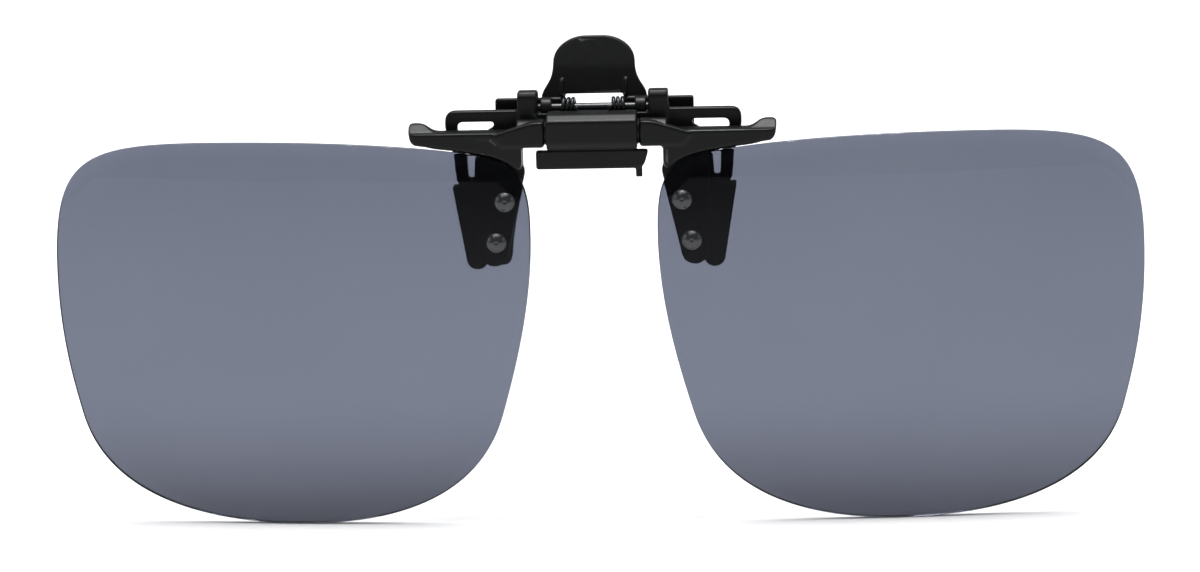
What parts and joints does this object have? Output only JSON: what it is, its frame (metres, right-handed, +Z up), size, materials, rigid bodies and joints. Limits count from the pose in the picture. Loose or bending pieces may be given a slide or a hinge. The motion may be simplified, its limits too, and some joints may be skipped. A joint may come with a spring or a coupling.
{
  "type": "clip-on sunglasses",
  "caption": "Flip-up clip-on sunglasses: tinted lenses on a flip hinge, carried by a sprung clamp with a thumb tab that grips spectacles.",
  "frame": {"origin": "midway between the jaws at the middle of the grip pads, in the plane where the clamp holds the spectacle lens", "axes": "+X to the right seen from the front, -Y the front, +Z up with the lenses down"},
  "size_m": [0.1368, 0.0133, 0.0605],
  "materials": {
    "tinted_lens": "smooth grey tinted plastic lens, polished",
    "black_plastic": "black moulded plastic, fine satin grain",
    "grip_rubber": "soft black dipped rubber, matte",
    "rivet_finish": "dark grey domed rivet heads, semi-gloss",
    "spring_steel": "bright spring steel wire and pins"
  },
  "bodies": {
    "clip": {"clip_body": "black_plastic", "hinge_cover": "black_plastic", "detent_leaf": "spring_steel", "front_grip_sleeve_right": "grip_rubber", "front_grip_sleeve_left": "grip_rubber", "clamp_pin": "spring_steel", "clamp_spring_right": "spring_steel", "clamp_spring_left": "spring_steel"},
    "flip_frame": {"flip_shaft": "spring_steel", "lens_carrier_right": "black_plastic", "lens_carrier_left": "black_plastic", "sun_lens_right": "tinted_lens", "sun_lens_left": "tinted_lens", "upper_lens_rivet_right": "rivet_finish", "upper_lens_rivet_left": "rivet_finish", "lower_lens_rivet_right": "rivet_finish", "lower_lens_rivet_left": "rivet_finish"},
    "clamp_lever": {"rear_jaw": "black_plastic", "rear_grip_sleeve_right": "grip_rubber", "rear_grip_sleeve_left": "grip_rubber"}
  },
  "joints": [
    {"name": "lens_flip", "type": "hinge", "parent": "clip", "child": "flip_frame", "pos_m": [0, -0.0045, 0.012], "axis": [-1, 0, 0], "range_deg": [0, 95]},
    {"name": "clamp_open", "type": "hinge", "parent": "clip", "child": "clamp_lever", "pos_m": [0, 0.0002, 0.0143], "axis": [1, 0, 0], "range_deg": [0, 30], "stiffness_Nm_per_rad": 0.02, "springref_deg": -28.65, "deforming": ["clamp_spring_right", "clamp_spring_left"]}
  ]
}
